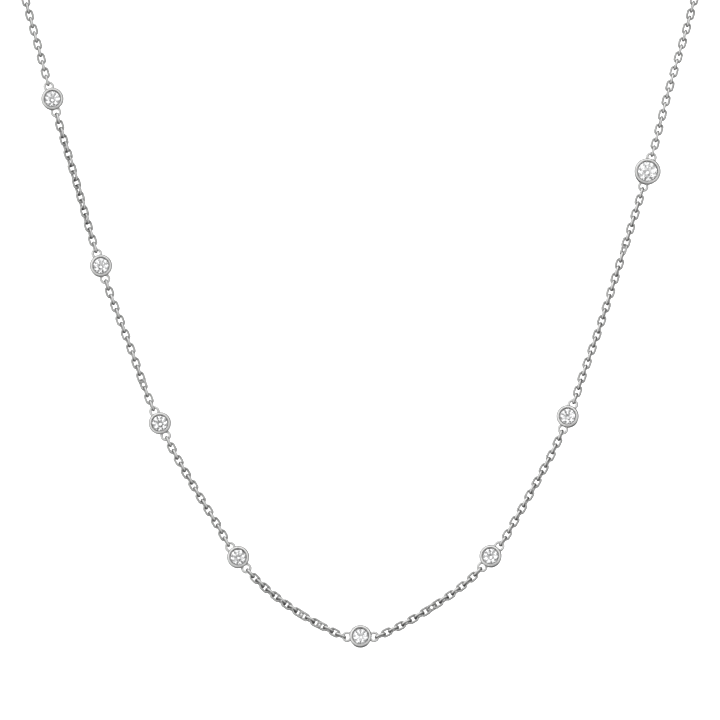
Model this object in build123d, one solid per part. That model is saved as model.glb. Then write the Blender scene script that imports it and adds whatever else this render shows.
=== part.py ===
from build123d import *
import math
import os

# A fine cable-link necklace with eight round stones, each in a plain collar that is
# soldered to a small ring at either side. It keeps the form it has when it is worn.
# Millimetres and degrees. X runs across, the wearer faces -Y, and +Z is up.
# The origin is at the nape of the neck, in the middle of the clasp.

# Sizes of the chain's links
LINK_WIDTH = 1.42
LINK_REACH = 1.77          # length of a link along the middle of its wire
WIRE_THICK = 0.3           # in the plane of the link
WIRE_BROAD = 0.42          # across the plane of the link
WIRE_SIDES = 5
LINK_PLAY = 0.22           # between a link's end and the ring that it hooks into
LINK_END = [
    # along, aside: corners round the end of a link, over half its width
    (0.0, -1.0),
    (0.8, -0.74),
    (1.0, 0.0),
    (0.8, 0.74),
    (0.0, 1.0),
]

# Sizes of the settings
SMALL_STONE = 2.6
LARGE_STONE = 3.25
COLLAR_WALL = 0.55         # from the stone's edge to the outside of the collar
RIM_WIDTH = 0.45           # of the collar's top, which is rounded on both sides
RIM_ROUND = 0.33           # of the outer side, and the inner side takes the rest
LIP_COVER = 0.08           # how far the collar reaches over the stone's edge
COLLAR_DEPTH_SHARE = 0.77  # depth of a collar over its stone's diameter
COLLAR_TAPER = 0.18
BACK_HOLE_SHARE = 0.56     # hole in the back over the stone's diameter
STONE_GAP = 0.06
TABLE_RECESS = 0.2         # from the top of the rim down to the stone's table
RING_RADIUS = 0.68         # middle of the ring's wire
RING_WIRE = 0.44
RING_OFFSET = 0.36         # from the collar's outside to the ring's centre

# Proportions of the round cut, over the stone's diameter
TABLE_SHARE = 0.56
CROWN_SHARE = 0.15
GIRDLE_SHARE = 0.03
PAVILION_SHARE = 0.43
STAR_SHARE = 0.78          # radius of the star facets' tips over the girdle's radius
LOWER_SHARE = 0.42         # radius of the lower facets' tips over the girdle's radius

# Sizes of the clasp and of the chain's hidden stretch
CLASP_BARREL = 6.4
CLASP_DIAMETER = 2.6
CLASP_NOSE = 0.7
TUBE_DIAMETER = LINK_WIDTH
TUBE_GAP = 0.15            # between a tube's end and the ring that it stops at
TUBE_BEND_SHARE = 0.45     # how much of the shorter run each of its bends takes up

# The front of the necklace lies in a plane that leans back on the chest
LEAN = 12.0
LOWEST = Vector(0, -73.5, -130.5)

# The way of the chain in that plane, from the wearer's right to the left
DRAPE = [
    # place, across, up
    ("side", -55.1, 105.3),
    ("", -53.0, 97.5),
    ("station_1", -50.9, 89.68),
    ("", -46.9, 75.7),
    ("station_2", -42.85, 61.83),
    ("", -38.2, 48.9),
    ("station_3", -33.06, 35.6),
    ("", -27.0, 24.3),
    ("", -23.1, 17.85),
    ("station_4", -20.16, 13.31),
    ("", -11.3, 4.87),
    ("", -4.6, 1.03),
    ("station_5", 0.0, 0.14),
    ("", 4.6, 1.0),
    ("", 11.6, 4.93),
    ("station_6", 21.45, 13.46),
    ("", 25.62, 19.76),
    ("", 28.4, 24.7),
    ("station_7", 34.21, 36.72),
    ("", 36.45, 43.0),
    ("", 39.0, 50.3),
    ("", 43.3, 64.0),
    ("station_8", 47.36, 77.55),
    ("", 50.9, 91.1),
    ("side", 54.75, 104.7),
]

# The hidden stretch on one side, from the drape round the neck to the nape
NECK_ROUTE = [
    # across, depth, height
    (58.0, -49.5, -15.0),
    (58.6, -38.6, -7.2),
    (52.6, -22.6, -2.6),
    (39.8, -10.4, -0.6),
    (21.6, -2.8, 0.0),
]

# The stones, by their station, with how far each setting is turned about the chain
STATIONS = [
    # name, stone, turn
    ("station_1", SMALL_STONE, -1.0),
    ("station_2", SMALL_STONE, -2.0),
    ("station_3", SMALL_STONE, 3.0),
    ("station_4", SMALL_STONE, 0.0),
    ("station_5", SMALL_STONE, -3.0),
    ("station_6", SMALL_STONE, -3.0),
    ("station_7", SMALL_STONE, -4.0),
    ("station_8", LARGE_STONE, 3.0),
]

# The links between each station and the next: how many, how far they are turned
# at the ends and halfway, and the links where the chain makes an extra half twist
SPANS = [
    # links, end turn, middle turn, twist after links
    (19, 4.0, 22.0, []),
    (18, 2.0, 6.0, [13]),
    (17, 2.0, 4.0, []),
    (17, 4.0, 14.0, [8, 12]),
    (17, 4.0, 14.0, []),
    (17, 4.0, 10.0, []),
    (30, 2.0, 5.0, [20]),
]
RIGHT_SPANS = 4            # spans in the right half of the front, the rest are the left's
TWIST_LINKS = 4            # an extra half twist is spread over this many links

# How finely the way of the chain is worked out
CURVE_STEPS = 24           # steps from one point of the drape to the next
HEADING_STEP = 0.7         # how far ahead and behind the chain's direction is taken

ACROSS = Vector(1, 0, 0)
UP_DRAPE = Vector(0, math.sin(math.radians(LEAN)), math.cos(math.radians(LEAN)))
FACING = Vector(0, -math.cos(math.radians(LEAN)), math.sin(math.radians(LEAN)))


# Places along the chain

def on_drape(across, up):
    """A point of the leaning plane."""
    return LOWEST + ACROSS * across + UP_DRAPE * up


def curve_slopes(points):
    """The curve's direction at each point, from the runs on either side."""
    runs = [after - before for before, after in zip(points, points[1:])]
    slopes = [runs[0].normalized()]
    for before, after in zip(runs, runs[1:]):
        weighted = before.normalized() * after.length + after.normalized() * before.length
        slopes.append(weighted * (1 / (before.length + after.length)))
    slopes.append(runs[-1].normalized())
    return slopes


def curve_places(points):
    """A smooth curve through the points, as (length so far, place) rows."""
    slopes = curve_slopes(points)
    places = []
    for start, end, leave, arrive in zip(points, points[1:], slopes, slopes[1:]):
        run = (end - start).length
        for step in range(CURVE_STEPS):
            t = step / CURVE_STEPS
            place = (
                start * (2 * t**3 - 3 * t**2 + 1)
                + leave * (run * (t**3 - 2 * t**2 + t))
                + end * (3 * t**2 - 2 * t**3)
                + arrive * (run * (t**3 - t**2))
            )
            places.append(place)
    places.append(points[-1])
    rows = [(0.0, places[0])]
    for before, after in zip(places, places[1:]):
        rows.append((rows[-1][0] + (after - before).length, after))
    return rows


def place_at(rows, distance):
    """The point of the curve at a distance along it."""
    for (before, start), (after, end) in zip(rows, rows[1:]):
        if distance <= after:
            return start + (end - start) * ((distance - before) / (after - before))
    return rows[-1][1]


def heading_at(rows, distance):
    """The curve's direction at a distance along it."""
    ahead = place_at(rows, distance + HEADING_STEP)
    behind = place_at(rows, distance - HEADING_STEP)
    return (ahead - behind).normalized()


def chain_frame(place, heading, turn):
    """A frame with X along the chain and Z towards the viewer, turned about the chain."""
    plane = Plane(origin=place, x_dir=heading, z_dir=FACING)
    return plane.location * Location((0, 0, 0), (turn, 0, 0))


# Solids

def faceted(rings_of_corners):
    """A closed solid from flat faces, each a list of corners."""
    faces = [Face(Wire.make_polygon(corners, close=True)) for corners in rings_of_corners]
    return Solid(Shell(faces))


def link_path():
    """Corners of a link's middle line: two straight sides and two rounded ends."""
    bend = (LINK_WIDTH - WIRE_THICK) / 2
    half_straight = LINK_REACH / 2 - bend
    corners = []
    for side in (1, -1):
        for along, aside in LINK_END:
            corners.append((side * (half_straight + bend * along), side * bend * aside))
    return corners


def link():
    """One link, with a wire of five flats mitred at each corner of its path."""
    path = link_path()
    sections = []
    for index, (x, y) in enumerate(path):
        before = Vector(*path[index - 1])
        after = Vector(*path[(index + 1) % len(path)])
        into = (Vector(x, y) - before).normalized()
        out = (after - Vector(x, y)).normalized()
        middle = (into + out).normalized()
        outward = Vector(middle.Y, -middle.X)
        stretch = 1 / math.cos(math.radians(into.get_angle(out)) / 2)
        section = []
        for side in range(WIRE_SIDES):
            angle = 2 * math.pi * side / WIRE_SIDES
            in_plane = WIRE_THICK / 2 * math.cos(angle) * stretch
            across = WIRE_BROAD / 2 * math.sin(angle)
            section.append(Vector(x, y) + outward * in_plane + Vector(0, 0, across))
        sections.append(section)
    faces = []
    for here, there in zip(sections, sections[1:] + sections[:1]):
        for side in range(WIRE_SIDES):
            other = (side + 1) % WIRE_SIDES
            faces.append([here[side], here[other], there[other], there[side]])
    return faceted(faces)


def ring(radius, wire):
    """A round ring of round wire, lying flat."""
    return Solid.make_torus(radius, wire / 2)


def collar_section(stone):
    """Half of the collar's section, in radius and height, level with its rings."""
    outer = stone / 2 + COLLAR_WALL
    opening = stone / 2 - LIP_COVER
    seat = stone / 2 + STONE_GAP
    hole = BACK_HOLE_SHARE * stone / 2
    half = COLLAR_DEPTH_SHARE * stone / 2
    girdle = half - TABLE_RECESS - CROWN_SHARE * stone
    ledge = girdle + LIP_COVER + STONE_GAP
    seat_top = girdle - GIRDLE_SHARE * stone - STONE_GAP
    slope = PAVILION_SHARE / 0.5
    seat_low = seat_top - (seat - hole) * slope
    shoulder = half - RIM_ROUND
    crest = outer - RIM_ROUND
    inner = outer - RIM_WIDTH
    brow = half - (crest - inner)
    outline = Wire([
        Edge.make_line((outer - COLLAR_TAPER, 0, -half), (outer, 0, shoulder)),
        Edge.make_tangent_arc((outer, 0, shoulder), (0, 0, 1), (crest, 0, half)),
        Edge.make_tangent_arc((crest, 0, half), (-1, 0, 0), (inner, 0, brow)),
        Edge.make_line((inner, 0, brow), (opening, 0, ledge)),
        Edge.make_line((opening, 0, ledge), (seat, 0, ledge)),
        Edge.make_line((seat, 0, ledge), (seat, 0, seat_top)),
        Edge.make_line((seat, 0, seat_top), (hole, 0, seat_low)),
        Edge.make_line((hole, 0, seat_low), (hole, 0, -half)),
        Edge.make_line((hole, 0, -half), (outer - COLLAR_TAPER, 0, -half)),
    ])
    return Face(outline)


def setting(stone):
    """A collar with its two soldered rings, one solid."""
    collar = revolve(collar_section(stone), Axis.Z, 360)
    reach = stone / 2 + COLLAR_WALL + RING_OFFSET
    for side in (1, -1):
        collar = collar + Location((side * reach, 0, 0)) * ring(RING_RADIUS, RING_WIRE)
    return collar


def girdle_height(stone):
    """Height of the girdle's upper edge in a setting."""
    return COLLAR_DEPTH_SHARE * stone / 2 - TABLE_RECESS - CROWN_SHARE * stone


def stone_ring(radius, height, eighths):
    """Corners at one height of the stone, at angles counted in eighths of a turn."""
    return [
        Vector(
            radius * math.cos(math.pi / 4 * eighth),
            radius * math.sin(math.pi / 4 * eighth),
            height,
        )
        for eighth in eighths
    ]


def cut_stone(stone):
    """A round brilliant with its table up: table, stars, kites, girdle and pavilion."""
    girdle_radius = stone / 2
    table_radius = TABLE_SHARE * stone / 2
    star_radius = STAR_SHARE * girdle_radius
    lower_radius = LOWER_SHARE * girdle_radius
    girdle_top = girdle_height(stone)
    girdle_low = girdle_top - GIRDLE_SHARE * stone
    table_height = girdle_top + CROWN_SHARE * stone
    culet_height = girdle_low - PAVILION_SHARE * stone
    between = math.cos(math.pi / 8)
    star_share = (star_radius * between - table_radius) / (girdle_radius - table_radius)
    star_height = table_height - CROWN_SHARE * stone * star_share
    lower_share = lower_radius * between / girdle_radius
    lower_height = culet_height + PAVILION_SHARE * stone * lower_share
    whole = range(8)
    half_way = [eighth + 0.5 for eighth in whole]
    table = stone_ring(table_radius, table_height, whole)
    stars = stone_ring(star_radius, star_height, half_way)
    top = stone_ring(girdle_radius, girdle_top, whole)
    top_half = stone_ring(girdle_radius, girdle_top, half_way)
    low = stone_ring(girdle_radius, girdle_low, whole)
    low_half = stone_ring(girdle_radius, girdle_low, half_way)
    lowers = stone_ring(lower_radius, lower_height, half_way)
    culet = Vector(0, 0, culet_height)
    faces = [table]
    for here in whole:
        there = (here + 1) % 8
        faces += [
            [table[here], stars[here], table[there]],
            [table[here], stars[here - 1], top[here], stars[here]],
            [stars[here], top[here], top_half[here]],
            [stars[here], top_half[here], top[there]],
            [top[here], low[here], low_half[here], top_half[here]],
            [top_half[here], low_half[here], low[there], top[there]],
            [lowers[here], low_half[here], low[here]],
            [lowers[here], low[there], low_half[here]],
            [culet, lowers[here - 1], low[here], lowers[here]],
        ]
    return faceted(faces)


def clasp():
    """A plain closed barrel with a ring at each end, one solid along X."""
    barrel = Cylinder(CLASP_DIAMETER / 2, CLASP_BARREL)
    barrel = fillet(barrel.edges().filter_by(GeomType.CIRCLE), CLASP_NOSE)
    body = Rot(0, 90, 0) * barrel
    for side in (1, -1):
        place = Location((side * (CLASP_BARREL / 2 + RING_OFFSET), 0, 0))
        body = body + place * ring(RING_RADIUS, RING_WIRE)
    return body


# The chain

def ring_reach(stone):
    """From a station's centre to the outer end of its ring."""
    return stone / 2 + COLLAR_WALL + RING_OFFSET + RING_RADIUS + RING_WIRE / 2


def hook_reach(stone):
    """From a station's centre to the inside of its ring's outer end."""
    return ring_reach(stone) - RING_WIRE


def link_turn(index, count, end_turn, middle_turn, twists):
    """How far a link is turned: a quarter turn from one to the next, plus its lie."""
    lie = end_turn + (middle_turn - end_turn) * math.sin(math.pi * index / (count + 1))
    turn = 90.0 * index + lie
    for twist in twists:
        passed = min(max(index - twist, 0), TWIST_LINKS)
        turn -= 90.0 * passed / TWIST_LINKS
    return turn


def span_links(shape, points, span):
    """The links of one span, evenly spaced on a curve through two stations and their rings."""
    count, end_turn, middle_turn, twists = span
    rows = curve_places(points)
    end_reach = (LINK_REACH - WIRE_THICK) / 2 - LINK_PLAY
    first = rows[CURVE_STEPS][0] + end_reach
    last = rows[-1 - CURVE_STEPS][0] - end_reach
    pitch = (last - first) / (count - 1)
    links = []
    for index in range(1, count + 1):
        distance = first + pitch * (index - 1)
        turn = link_turn(index, count, end_turn, middle_turn, twists)
        place = place_at(rows, distance)
        links.append(chain_frame(place, heading_at(rows, distance), turn) * shape)
    print("span pitch", round(pitch, 3))
    return links


def tube(points):
    """A round tube along straight runs joined by tangent arcs."""
    runs = [after - before for before, after in zip(points, points[1:])]
    radii = []
    for before, after in zip(runs, runs[1:]):
        half_turn = math.radians(before.get_angle(after)) / 2
        shorter = min(before.length, after.length)
        radii.append(TUBE_BEND_SHARE * shorter / math.tan(half_turn))
    path = FilletPolyline(*points, radius=radii)
    start = Plane(origin=path @ 0, z_dir=path % 0)
    solid = sweep(start * Circle(TUBE_DIAMETER / 2), path=path)
    section = math.pi * TUBE_DIAMETER**2 / 4
    print("radii", [round(radius, 1) for radius in radii])
    print("volume", round(solid.volume, 2), "section times length", round(section * path.length, 2))
    return solid


def neck_side(side):
    """The hidden stretch on one side, from the drape to the nape."""
    return [Vector(side * across, depth, height) for across, depth, height in NECK_ROUTE]


def clasp_end(side):
    """Where the hidden stretch stops, just short of the clasp's ring."""
    reach = CLASP_BARREL / 2 + RING_OFFSET + RING_RADIUS + RING_WIRE / 2
    return Vector(side * (reach + TUBE_GAP), 0, 0)


# The drape's points, the chain's direction at each of them, and their rows by name
DRAPE_POINTS = [on_drape(across, up) for _, across, up in DRAPE]
HEADINGS = [slope.normalized() for slope in curve_slopes(DRAPE_POINTS)]
ROWS = {place: row for row, (place, _, _) in enumerate(DRAPE)}


def past_station(station, reach):
    """A point on the line of a station's rings, ahead of its centre or behind it."""
    row = ROWS[station]
    return DRAPE_POINTS[row] + HEADINGS[row] * reach


def span_points(here, there):
    """The way from one station to the next, with the ring that each end hooks into."""
    here_name, here_stone, _ = here
    there_name, there_stone, _ = there
    between = DRAPE_POINTS[ROWS[here_name] + 1:ROWS[there_name]]
    return [
        past_station(here_name, 0),
        past_station(here_name, hook_reach(here_stone)),
        *between,
        past_station(there_name, -hook_reach(there_stone)),
        past_station(there_name, 0),
    ]


def save(shape, name):
    export_step(shape, "parts/" + name + ".step")


os.makedirs("parts", exist_ok=True)

for name, stone, turn in STATIONS:
    number = name.split("_")[1]
    place = chain_frame(past_station(name, 0), HEADINGS[ROWS[name]], turn)
    save(place * setting(stone), "setting_" + number)
    save(place * cut_stone(stone), "stone_" + number)

one_link = link()
spans = []
for here, there, span in zip(STATIONS, STATIONS[1:], SPANS):
    spans.append(span_links(one_link, span_points(here, there), span))
save(Compound(children=sum(spans[:RIGHT_SPANS], [])), "chain_front_right")
save(Compound(children=sum(spans[RIGHT_SPANS:], [])), "chain_front_left")

right_start = past_station("station_1", -ring_reach(SMALL_STONE) - TUBE_GAP)
left_start = past_station("station_8", ring_reach(LARGE_STONE) + TUBE_GAP)
right_way = [right_start, DRAPE_POINTS[0], *neck_side(-1), clasp_end(-1)]
left_way = [left_start, *DRAPE_POINTS[-2:], *neck_side(1), clasp_end(1)]
save(tube(right_way), "chain_back_right")
save(tube(left_way), "chain_back_left")
save(clasp(), "clasp")

nape = Vector(0, 0, 0)
whole_loop = [nape, *reversed(neck_side(-1)), *DRAPE_POINTS, *neck_side(1), nape]
print("length of the whole loop", round(curve_places(whole_loop)[-1][0], 1))
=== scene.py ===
import math
import random

import bmesh
import bpy
from mathutils import Matrix, Vector


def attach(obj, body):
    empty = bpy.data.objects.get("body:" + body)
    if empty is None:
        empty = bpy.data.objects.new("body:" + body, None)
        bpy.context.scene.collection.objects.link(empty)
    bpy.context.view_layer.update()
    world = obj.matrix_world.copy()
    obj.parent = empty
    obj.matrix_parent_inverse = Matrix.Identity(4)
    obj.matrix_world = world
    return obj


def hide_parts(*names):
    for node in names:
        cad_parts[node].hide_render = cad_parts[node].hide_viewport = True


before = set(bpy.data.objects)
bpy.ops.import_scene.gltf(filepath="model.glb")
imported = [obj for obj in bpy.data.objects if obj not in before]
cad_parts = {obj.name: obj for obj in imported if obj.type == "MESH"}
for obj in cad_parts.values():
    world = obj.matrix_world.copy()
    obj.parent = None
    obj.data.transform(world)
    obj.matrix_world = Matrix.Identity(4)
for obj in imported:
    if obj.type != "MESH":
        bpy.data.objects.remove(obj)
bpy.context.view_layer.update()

# The looks of a cable-link necklace with eight round stones. The collars, the stones and the
# clasp are the frame's own solids with better materials, and the four stretches of chain are
# made here from smooth links. Lengths below are in millimetres, as the frame's source has
# them, unless they say otherwise, and MM turns them into metres. Angles are in degrees.
MM = 0.001

# Sizes of a link
LINK_WIDTH = 1.43
LINK_INSIDE = 1.256         # length of the opening, which a tight chain takes up link by link
WIRE_THICK = 0.39           # in the plane of the link
WIRE_BROAD = 0.44           # across the plane of the link
LINK_CORNER = 0.45          # radius of the link's corners, along the middle of the wire
CORNER_STEPS = 6
WIRE_SIDES = 12
WIRE_SQUARENESS = 2.2       # 2 is an ellipse, and more is closer to a rectangle

# How the hand-made links differ from one another
LINK_ROLL = 2.2             # about the chain
LINK_SHIFT = 0.012          # sideways
SEED = 11

# Sizes of the settings and of the clasp, from the frame's source
SMALL_STONE = 2.6
LARGE_STONE = 3.25
COLLAR_WALL = 0.55
RING_RADIUS = 0.68
RING_WIRE = 0.44
RING_OFFSET = 0.36
CLASP_BARREL = 6.4

# The front of the necklace lies in a plane that leans back on the chest
LEAN = 12.0
LOWEST = Vector((0, -73.5, -130.5))

# The way of the chain in that plane, from the wearer's right to the left
DRAPE = [
    # place, across, up
    ("side", -55.1, 105.3),
    ("", -53.0, 97.5),
    ("station_1", -50.9, 89.68),
    ("", -46.9, 75.7),
    ("station_2", -42.85, 61.83),
    ("", -38.2, 48.9),
    ("station_3", -33.06, 35.6),
    ("", -27.0, 24.3),
    ("", -23.1, 17.85),
    ("station_4", -20.16, 13.31),
    ("", -11.3, 4.87),
    ("", -4.6, 1.03),
    ("station_5", 0.0, 0.14),
    ("", 4.6, 1.0),
    ("", 11.6, 4.93),
    ("station_6", 21.45, 13.46),
    ("", 25.62, 19.76),
    ("", 28.4, 24.7),
    ("station_7", 34.21, 36.72),
    ("", 36.45, 43.0),
    ("", 39.0, 50.3),
    ("", 43.3, 64.0),
    ("station_8", 47.36, 77.55),
    ("", 50.9, 91.1),
    ("side", 54.75, 104.7),
]

# The hidden stretch on one side, from the drape round the neck to the nape
NECK_ROUTE = [
    # across, depth, height
    (58.0, -49.5, -15.0),
    (58.6, -38.6, -7.2),
    (52.6, -22.6, -2.6),
    (39.8, -10.4, -0.6),
    (21.6, -2.8, 0.0),
]

STATIONS = [
    # name, stone
    ("station_1", SMALL_STONE),
    ("station_2", SMALL_STONE),
    ("station_3", SMALL_STONE),
    ("station_4", SMALL_STONE),
    ("station_5", SMALL_STONE),
    ("station_6", SMALL_STONE),
    ("station_7", SMALL_STONE),
    ("station_8", LARGE_STONE),
]

# The links between each station and the next: how many, how far those that stand on edge
# lean over at the ends and halfway, and where the chain is twisted
SPANS = [
    # links, end lean, middle lean, twists as (from this link on, degrees)
    (19, 6.0, 32.0, []),
    (18, 5.0, 10.0, [(15, -45.0), (16, -45.0)]),
    (17, 5.0, 8.0, []),
    (17, 6.0, 22.0, [(11, -45.0), (12, -45.0), (14, -45.0), (15, -45.0)]),
    (17, 6.0, 20.0, [(9, -30.0), (10, 30.0)]),
    (17, 6.0, 15.0, []),
    (30, 5.0, 9.0, [(22, -45.0), (23, -45.0)]),
]
RIGHT_SPANS = 4             # spans in the right half of the front, the rest are the left's
FLAT_SHARE = 0.4            # of the lean that the links lying flat take up
BACK_LIE = 3.0
BACK_LEVEL_SHARE = 0.25     # of the back chain, before it starts to turn towards the clasp

# How finely the way of the chain is worked out
CURVE_STEPS = 24            # steps from one point of the drape to the next
HEADING_STEP = 0.7          # how far ahead and behind the chain's direction is taken

# The camera, far away behind a long lens
VIEW_WIDTH = 118.8          # what the frame's width takes in
VIEW_CENTRE_UP = 46.2       # along the leaning plane, from the lowest station
VIEW_CENTRE_ACROSS = -0.08
VIEW_ELEVATION = 4.0
VIEW_DISTANCE = 5000.0
SENSOR = 36.0
CLIP_NEAR = 0.1             # in metres
CLIP_FAR = 60.0             # in metres

# The metals, with soft blotches, hairline scratches, links that differ and painted shade where the
# wire faces out of the link's plane
METALS = {
    # name: tone, least roughness, most roughness, spread of the tone
    "setting_metal_polish": (0.6, 0.28, 0.36, 0.02),
    "chain_metal_polish": (0.66, 0.24, 0.34, 0.05),
}
FACE_SHADE_TONE = 0.55            # painted shade: what is left of the tone where the wire faces out of the link's plane, a darker face that stands in for the dim reflection there
TONE_SUM = 1.5              # what a link's own share and the blotches add up to at most
BLUE_SHARE = 0.99           # of the red and the green, which warms the metal a little
BLOTCH_SCALE = 900.0        # to the metre, as the other textures on the necklace
BLOTCH_DETAIL = 4.0
SCRATCH_SCALE = 9000.0
SCRATCH_DETAIL = 3.0
SCRATCH_STRETCH = (0.25, 1.0, 1.0)
SCRATCH_LIE = (0.4, 0.7, 0.3)
SCRATCH_STRENGTH = 0.08
SCRATCH_DEPTH = 0.00002     # in metres

# The stones, with a faint cloudiness
STONE_COLOUR = (0.985, 0.99, 1.0, 1.0)
STONE_INDEX = 2.42
CLOUD_SCALE = 1500.0
CLOUD_ROUGHNESS = 0.006

# The floor, and the light that only the floor sees
FLOOR_SIZE = 24000.0
FLOOR_HEIGHT = -260.0
FLOOR_COLOUR = (0.93, 0.93, 0.93, 1)
FLOOR_ROUGHNESS = 0.9
PAPER_LIGHT_SPREAD = 60.0
PAPER_LIGHT_POWER = 3.2

# The soft light all round: a base, broad patches, and one dark patch where the camera stands
WORLD_BASE = 0.14
PATCHES = [
    # direction, degrees from it where the patch ends and where it is full, brightness
    ((-0.1, -1, 0.1), 88, 35, 1.05),
    ((-0.2, -0.75, 1), 55, 20, 0.8),
    ((-1, -0.5, 0.15), 55, 15, 0.4),
    ((1, -0.4, 0.0), 50, 15, 0.2),
    ((0, -1, 0.15), 27, 15, -1.0),
]
GAP_SCALE = 6.0             # dark gaps between the lamps, a few degrees wide
GAP_RANGE = (0.38, 0.56)    # of the noise, from a gap's middle to its edge
GAP_DEPTH = 0.5

ACROSS = Vector((1, 0, 0))
UP_DRAPE = Vector((0, math.sin(math.radians(LEAN)), math.cos(math.radians(LEAN))))
FACING = Vector((0, -math.cos(math.radians(LEAN)), math.sin(math.radians(LEAN))))


# Places along the chain

def on_drape(across, up):
    """A point of the leaning plane."""
    return LOWEST + ACROSS * across + UP_DRAPE * up


def curve_slopes(points):
    """The curve's direction at each point, from the runs on either side."""
    runs = [after - before for before, after in zip(points, points[1:])]
    slopes = [runs[0].normalized()]
    for before, after in zip(runs, runs[1:]):
        weighted = before.normalized() * after.length + after.normalized() * before.length
        slopes.append(weighted / (before.length + after.length))
    slopes.append(runs[-1].normalized())
    return slopes


def curve_places(points):
    """A smooth curve through the points, as (length so far, place) rows."""
    slopes = curve_slopes(points)
    places = []
    for start, end, leave, arrive in zip(points, points[1:], slopes, slopes[1:]):
        run = (end - start).length
        for step in range(CURVE_STEPS):
            t = step / CURVE_STEPS
            place = (
                start * (2 * t**3 - 3 * t**2 + 1)
                + leave * (run * (t**3 - 2 * t**2 + t))
                + end * (3 * t**2 - 2 * t**3)
                + arrive * (run * (t**3 - t**2))
            )
            places.append(place)
    places.append(points[-1])
    rows = [(0.0, places[0])]
    for before, after in zip(places, places[1:]):
        rows.append((rows[-1][0] + (after - before).length, after))
    return rows


def place_at(rows, distance):
    """The point of the curve at a distance along it."""
    for (before, start), (after, end) in zip(rows, rows[1:]):
        if distance <= after:
            return start + (end - start) * ((distance - before) / (after - before))
    return rows[-1][1]


def heading_at(rows, distance):
    """The curve's direction at a distance along it."""
    ahead = place_at(rows, distance + HEADING_STEP)
    behind = place_at(rows, distance - HEADING_STEP)
    return (ahead - behind).normalized()


def chain_frame(place, heading, facing, turn):
    """A frame with X along the chain and Z facing out, turned about the chain."""
    aside = facing.cross(heading).normalized()
    out = heading.cross(aside)
    axes = Matrix((heading, aside, out)).transposed().to_4x4()
    return Matrix.Translation(place) @ axes @ Matrix.Rotation(math.radians(turn), 4, "X")


DRAPE_POINTS = [on_drape(across, up) for _, across, up in DRAPE]
HEADINGS = [slope.normalized() for slope in curve_slopes(DRAPE_POINTS)]
ROWS = {place: row for row, (place, _, _) in enumerate(DRAPE)}


def ring_reach(stone):
    """From a station's centre to the inside of its ring's outer end."""
    return stone / 2 + COLLAR_WALL + RING_OFFSET + RING_RADIUS - RING_WIRE / 2


def past_station(station, reach):
    """A point on the line of a station's rings, ahead of its centre or behind it."""
    row = ROWS[station]
    return DRAPE_POINTS[row] + HEADINGS[row] * reach


# One link

def link_path():
    """The middle line of a link, a rectangle with round corners: place and outward direction."""
    half_length = (LINK_INSIDE + WIRE_THICK) / 2
    half_width = (LINK_WIDTH - WIRE_THICK) / 2
    corners = [(1, 1, 0), (-1, 1, 90), (-1, -1, 180), (1, -1, 270)]
    path = []
    for end, side, start in corners:
        along = end * (half_length - LINK_CORNER)
        aside = side * (half_width - LINK_CORNER)
        centre = Vector((along, aside, 0))
        for step in range(CORNER_STEPS + 1):
            angle = math.radians(start + 90 * step / CORNER_STEPS)
            outward = Vector((math.cos(angle), math.sin(angle), 0))
            path.append((centre + outward * LINK_CORNER, outward))
    return path


def wire_section():
    """Corners of the flattened wire's section, outward and across the link's plane."""
    section = []
    power = 2 / WIRE_SQUARENESS
    for side in range(WIRE_SIDES):
        angle = 2 * math.pi * (side + 0.5) / WIRE_SIDES
        outward = math.copysign(abs(math.cos(angle)) ** power, math.cos(angle))
        across = math.copysign(abs(math.sin(angle)) ** power, math.sin(angle))
        section.append((outward * WIRE_THICK / 2, across * WIRE_BROAD / 2))
    return section


def link_corners():
    """The link's corners, ring by ring round its path."""
    section = wire_section()
    rings = []
    for place, outward in link_path():
        ring = [place + outward * thick + Vector((0, 0, broad)) for thick, broad in section]
        rings.append(ring)
    return rings


def chain_piece(name, placements, replaced):
    """Many links as one object, with each corner's tone and its height over the link's plane,
    which sets the painted shade on the wire's faces.
    """
    rings = link_corners()
    mesh = bpy.data.meshes.new(name)
    built = bmesh.new()
    tone = built.verts.layers.float.new("link_tone")
    edge = built.verts.layers.float.new("painted_face_shade")
    # how far each corner of the section lies across the link's plane, which sets how much painted
    # shade it gets
    face_shade_shares = [abs(broad) / (WIRE_BROAD / 2) for _, broad in wire_section()]
    jitter = random.Random(SEED + len(placements))
    for placement in placements:
        roll = Matrix.Rotation(math.radians(jitter.uniform(-LINK_ROLL, LINK_ROLL)), 4, "X")
        aside = Vector((0, jitter.uniform(-1, 1), jitter.uniform(-1, 1)))
        lie = placement @ Matrix.Translation(aside * LINK_SHIFT) @ roll
        own_tone = jitter.random()
        verts = []
        for ring in rings:
            row = [built.verts.new((lie @ corner) * MM) for corner in ring]
            for vert, share in zip(row, face_shade_shares):
                vert[tone] = own_tone
                vert[edge] = share
            verts.append(row)
        for here, there in zip(verts, verts[1:] + verts[:1]):
            for side in range(WIRE_SIDES):
                other = (side + 1) % WIRE_SIDES
                face = built.faces.new((here[side], there[side], there[other], here[other]))
                face.smooth = True
    bmesh.ops.recalc_face_normals(built, faces=built.faces)
    built.to_mesh(mesh)
    built.free()
    piece = bpy.data.objects.new(name, mesh)
    bpy.context.scene.collection.objects.link(piece)
    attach(piece, "root")
    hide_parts(replaced)
    return piece


# The chain

def link_turn(index, count, end_lean, middle_lean, twists):
    """How far a link is turned: a quarter turn from one to the next, the twists, and its lean."""
    lean = end_lean + (middle_lean - end_lean) * math.sin(math.pi * index / (count + 1))
    turn = 90.0 * index + sum(twist for link, twist in twists if index >= link)
    upright = abs(math.sin(math.radians(turn)))
    return turn - lean * (FLAT_SHARE + (1 - FLAT_SHARE) * upright)


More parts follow.
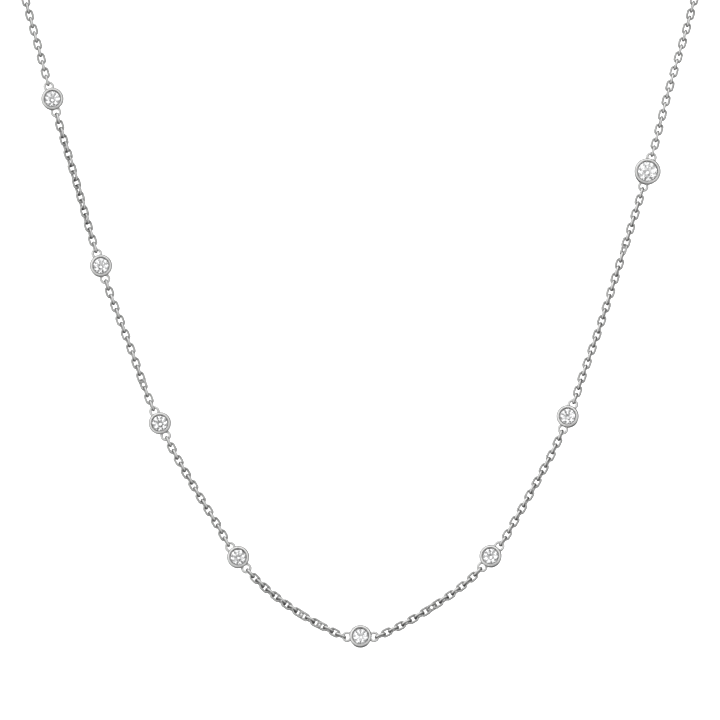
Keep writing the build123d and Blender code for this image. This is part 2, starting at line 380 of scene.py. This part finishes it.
def span_placements(here, there, span):
    """Where the links between two stations lie."""
    count, end_lean, middle_lean, twists = span
    here_name, here_stone = here
    there_name, there_stone = there
    points = [
        past_station(here_name, 0),
        past_station(here_name, ring_reach(here_stone)),
        *DRAPE_POINTS[ROWS[here_name] + 1:ROWS[there_name]],
        past_station(there_name, -ring_reach(there_stone)),
        past_station(there_name, 0),
    ]
    rows = curve_places(points)
    first = rows[CURVE_STEPS][0] + LINK_INSIDE / 2
    last = rows[-1 - CURVE_STEPS][0] - LINK_INSIDE / 2
    pitch = (last - first) / (count - 1)
    print("pitch from", here_name, round(pitch, 3))
    placements = []
    for index in range(1, count + 1):
        distance = first + pitch * (index - 1)
        turn = link_turn(index, count, end_lean, middle_lean, twists)
        heading = heading_at(rows, distance)
        placements.append(chain_frame(place_at(rows, distance), heading, FACING, turn))
    return placements


def back_placements(station, stone, beyond, side):
    """Where the links lie from a station's ring over the drape's side to the clasp's ring."""
    clasp_ring = CLASP_BARREL / 2 + RING_OFFSET + RING_RADIUS - RING_WIRE / 2
    points = [
        past_station(station, 0),
        past_station(station, side * ring_reach(stone)),
        *beyond,
        *[Vector((side * across, depth, height)) for across, depth, height in NECK_ROUTE],
        Vector((side * clasp_ring, 0, 0)),
        Vector((side * CLASP_BARREL / 2, 0, 0)),
    ]
    rows = curve_places(points)
    first = rows[CURVE_STEPS][0] + LINK_INSIDE / 2
    last = rows[-1 - CURVE_STEPS][0] - LINK_INSIDE / 2
    count = 2 * math.ceil((last - first) / LINK_INSIDE / 2) + 1
    pitch = (last - first) / (count - 1)
    print("pitch behind", station, round(pitch, 3), "links", count)
    distances = [first + pitch * index for index in range(count)]
    headings = [heading_at(rows, distance) for distance in distances]
    facing = FACING
    facings = []
    for heading in headings:
        facing = (facing - heading * facing.dot(heading)).normalized()
        facings.append(facing)
    upward = facing.cross(Vector((0, 0, 1))).dot(headings[-1])
    left_over = math.degrees(math.atan2(upward, facing.z))
    left_over = (left_over + 90) % 180 - 90
    placements = []
    for index, distance in enumerate(distances, start=1):
        share = max(index / count - BACK_LEVEL_SHARE, 0) / (1 - BACK_LEVEL_SHARE)
        turn = 90.0 * index + BACK_LIE + left_over * share
        place = place_at(rows, distance)
        placements.append(chain_frame(place, headings[index - 1], facings[index - 1], turn))
    return placements


# Materials

def new_material(name):
    """A material with its node tree and its surface shader."""
    material = bpy.data.materials.new(name)
    material.use_nodes = True
    tree = material.node_tree
    return material, tree, tree.nodes["Principled BSDF"]


def polished_metal(name):
    """White metal with a fine polish: soft blotches, hairline scratches, links that differ, and
    painted shade where the wire faces out of the link's plane.
    """
    metal_tone, low_rough, high_rough, tone_spread = METALS[name]
    material, tree, surface = new_material(name)
    nodes, links = tree.nodes, tree.links
    surface.inputs["Metallic"].default_value = 1.0
    place = nodes.new("ShaderNodeTexCoord")
    blotches = nodes.new("ShaderNodeTexNoise")
    blotches.inputs["Scale"].default_value = BLOTCH_SCALE
    blotches.inputs["Detail"].default_value = BLOTCH_DETAIL
    links.new(place.outputs["Object"], blotches.inputs["Vector"])
    rough = nodes.new("ShaderNodeMapRange")
    rough.inputs["To Min"].default_value = low_rough
    rough.inputs["To Max"].default_value = high_rough
    links.new(blotches.outputs["Fac"], rough.inputs["Value"])
    links.new(rough.outputs["Result"], surface.inputs["Roughness"])
    tone = nodes.new("ShaderNodeAttribute")
    tone.attribute_name = "link_tone"
    mix = nodes.new("ShaderNodeMath")
    mix.operation = "ADD"
    links.new(tone.outputs["Fac"], mix.inputs[0])
    links.new(blotches.outputs["Fac"], mix.inputs[1])
    ramp = nodes.new("ShaderNodeMapRange")
    ramp.inputs["From Max"].default_value = TONE_SUM
    ramp.inputs["To Min"].default_value = metal_tone - tone_spread
    ramp.inputs["To Max"].default_value = metal_tone + tone_spread
    links.new(mix.outputs["Value"], ramp.inputs["Value"])
    colour = nodes.new("ShaderNodeCombineColor")
    # painted shade: the tone darkens where the wire faces out of the link's plane, standing in for
    # dim reflection on those faces
    edge = nodes.new("ShaderNodeAttribute")
    edge.attribute_name = "painted_face_shade"
    face_shade_ramp = nodes.new("ShaderNodeMapRange")
    face_shade_ramp.inputs["To Min"].default_value = 1.0
    face_shade_ramp.inputs["To Max"].default_value = FACE_SHADE_TONE
    links.new(edge.outputs["Fac"], face_shade_ramp.inputs["Value"])
    face_shaded = nodes.new("ShaderNodeMath")
    face_shaded.operation = "MULTIPLY"
    links.new(ramp.outputs["Result"], face_shaded.inputs[0])
    links.new(face_shade_ramp.outputs["Result"], face_shaded.inputs[1])
    warm = nodes.new("ShaderNodeMath")
    warm.operation = "MULTIPLY"
    warm.inputs[1].default_value = BLUE_SHARE
    links.new(face_shaded.outputs["Value"], colour.inputs["Red"])
    links.new(face_shaded.outputs["Value"], colour.inputs["Green"])
    links.new(face_shaded.outputs["Value"], warm.inputs[0])
    links.new(warm.outputs["Value"], colour.inputs["Blue"])
    links.new(colour.outputs["Color"], surface.inputs["Base Color"])
    scratches = nodes.new("ShaderNodeTexNoise")
    scratches.inputs["Scale"].default_value = SCRATCH_SCALE
    scratches.inputs["Detail"].default_value = SCRATCH_DETAIL
    stretch = nodes.new("ShaderNodeMapping")
    stretch.inputs["Scale"].default_value = SCRATCH_STRETCH
    stretch.inputs["Rotation"].default_value = SCRATCH_LIE
    links.new(place.outputs["Object"], stretch.inputs["Vector"])
    links.new(stretch.outputs["Vector"], scratches.inputs["Vector"])
    bump = nodes.new("ShaderNodeBump")
    bump.inputs["Strength"].default_value = SCRATCH_STRENGTH
    bump.inputs["Distance"].default_value = SCRATCH_DEPTH
    links.new(scratches.outputs["Fac"], bump.inputs["Height"])
    links.new(bump.outputs["Normal"], surface.inputs["Normal"])
    return material


def clear_stone(name):
    """A clear cut stone, with a faint cloudiness that differs from place to place."""
    material, tree, surface = new_material(name)
    nodes, links = tree.nodes, tree.links
    surface.inputs["Base Color"].default_value = STONE_COLOUR
    surface.inputs["IOR"].default_value = STONE_INDEX
    surface.inputs["Transmission Weight"].default_value = 1.0
    place = nodes.new("ShaderNodeTexCoord")
    cloud = nodes.new("ShaderNodeTexNoise")
    cloud.inputs["Scale"].default_value = CLOUD_SCALE
    links.new(place.outputs["Object"], cloud.inputs["Vector"])
    rough = nodes.new("ShaderNodeMapRange")
    rough.inputs["To Max"].default_value = CLOUD_ROUGHNESS
    links.new(cloud.outputs["Fac"], rough.inputs["Value"])
    links.new(rough.outputs["Result"], surface.inputs["Roughness"])
    return material


# Studio

def make_camera():
    """A long lens that looks at the middle of the drape from a little above."""
    camera_data = bpy.data.cameras.new("camera")
    camera = bpy.data.objects.new("camera", camera_data)
    bpy.context.scene.collection.objects.link(camera)
    target = on_drape(VIEW_CENTRE_ACROSS, VIEW_CENTRE_UP) * MM
    elevation = math.radians(VIEW_ELEVATION)
    back = Vector((0, -math.cos(elevation), math.sin(elevation)))
    camera.location = target + back * (VIEW_DISTANCE * MM)
    camera.rotation_euler = (math.radians(90 - VIEW_ELEVATION), 0, 0)
    camera_data.sensor_width = SENSOR
    camera_data.lens = SENSOR * VIEW_DISTANCE / VIEW_WIDTH
    camera_data.clip_start = CLIP_NEAR
    camera_data.clip_end = CLIP_FAR
    bpy.context.scene.camera = camera


def make_floor():
    """A plain pale floor, far enough below to stay out of the metal's shading."""
    mesh = bpy.data.meshes.new("floor")
    built = bmesh.new()
    bmesh.ops.create_grid(built, x_segments=1, y_segments=1, size=FLOOR_SIZE * MM / 2)
    built.to_mesh(mesh)
    built.free()
    floor = bpy.data.objects.new("floor", mesh)
    bpy.context.scene.collection.objects.link(floor)
    floor.location = (0, 0, FLOOR_HEIGHT * MM)
    material, _, surface = new_material("floor_paper")
    surface.inputs["Base Color"].default_value = FLOOR_COLOUR
    surface.inputs["Roughness"].default_value = FLOOR_ROUGHNESS
    surface.inputs["Specular IOR Level"].default_value = 0.0
    mesh.materials.append(material)
    floor.visible_glossy = False
    floor.visible_transmission = False


def make_paper_light():
    """A broad light from above that brightens the floor and stays out of the metal."""
    light_data = bpy.data.lights.new("paper_light", "SUN")
    light_data.angle = math.radians(PAPER_LIGHT_SPREAD)
    light_data.energy = PAPER_LIGHT_POWER
    light = bpy.data.objects.new("paper_light", light_data)
    bpy.context.scene.collection.objects.link(light)
    light.location = (0, 0, 1)
    light.visible_glossy = False
    light.visible_transmission = False


def make_world():
    """Soft light from all round, as a base and a few broad soft patches."""
    world = bpy.data.worlds.new("world")
    bpy.context.scene.world = world
    world.use_nodes = True
    nodes, links = world.node_tree.nodes, world.node_tree.links
    background = nodes["Background"]
    place = nodes.new("ShaderNodeTexCoord")
    total = None
    for direction, edge, core, brightness in PATCHES:
        dot = nodes.new("ShaderNodeVectorMath")
        dot.operation = "DOT_PRODUCT"
        dot.inputs[1].default_value = Vector(direction).normalized()
        links.new(place.outputs["Generated"], dot.inputs[0])
        patch = nodes.new("ShaderNodeMapRange")
        patch.interpolation_type = "SMOOTHSTEP"
        patch.inputs["From Min"].default_value = math.cos(math.radians(edge))
        patch.inputs["From Max"].default_value = math.cos(math.radians(core))
        patch.inputs["To Max"].default_value = brightness
        links.new(dot.outputs["Value"], patch.inputs["Value"])
        added = nodes.new("ShaderNodeMath")
        added.operation = "ADD"
        added.inputs[1].default_value = WORLD_BASE if total is None else 0.0
        links.new(patch.outputs["Result"], added.inputs[0])
        if total is not None:
            links.new(total.outputs["Value"], added.inputs[1])
        total = added
    gaps = nodes.new("ShaderNodeTexNoise")
    gaps.inputs["Scale"].default_value = GAP_SCALE
    gaps.inputs["Detail"].default_value = 0.0
    links.new(place.outputs["Generated"], gaps.inputs["Vector"])
    shade = nodes.new("ShaderNodeMapRange")
    shade.interpolation_type = "SMOOTHSTEP"
    shade.inputs["From Min"].default_value = GAP_RANGE[0]
    shade.inputs["From Max"].default_value = GAP_RANGE[1]
    shade.inputs["To Min"].default_value = 1.0 - GAP_DEPTH
    shade.inputs["To Max"].default_value = 1.0 + GAP_DEPTH / 2
    links.new(gaps.outputs["Fac"], shade.inputs["Value"])
    lit = nodes.new("ShaderNodeMath")
    lit.operation = "MULTIPLY"
    links.new(total.outputs["Value"], lit.inputs[0])
    links.new(shade.outputs["Result"], lit.inputs[1])
    links.new(lit.outputs["Value"], background.inputs["Color"])


# The pieces

def dress_frame():
    """Better materials for the solids that are shown as they are."""
    metal = polished_metal("setting_metal_polish")
    stone = clear_stone("stone_clear")
    for name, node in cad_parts.items():
        if name.startswith("setting") or name == "clasp":
            node.material_slots[0].material = metal
        if name.startswith("stone"):
            node.material_slots[0].material = stone


def make_chains():
    """The four stretches of chain."""
    metal = polished_metal("chain_metal_polish")
    spans = []
    for here, there, span in zip(STATIONS, STATIONS[1:], SPANS):
        spans.append(span_placements(here, there, span))
    chains = [
        # name, placements, what it stands for
        ("links_front_right", sum(spans[:RIGHT_SPANS], []), "chain_front_right"),
        ("links_front_left", sum(spans[RIGHT_SPANS:], []), "chain_front_left"),
        (
            "links_back_right",
            back_placements("station_1", SMALL_STONE, DRAPE_POINTS[1::-1], -1),
            "chain_back_right",
        ),
        (
            "links_back_left",
            back_placements("station_8", LARGE_STONE, DRAPE_POINTS[-2:], 1),
            "chain_back_left",
        ),
    ]
    for name, placements, replaced in chains:
        piece = chain_piece(name, placements, replaced)
        piece.data.materials.append(metal)
        print(name, len(placements), "links", len(piece.data.polygons) * 2, "triangles")


make_camera()
make_floor()
make_world()
make_paper_light()
make_chains()
dress_frame()

scene = bpy.context.scene
scene.view_settings.view_transform = "Standard"
scene.cycles.use_denoising = True
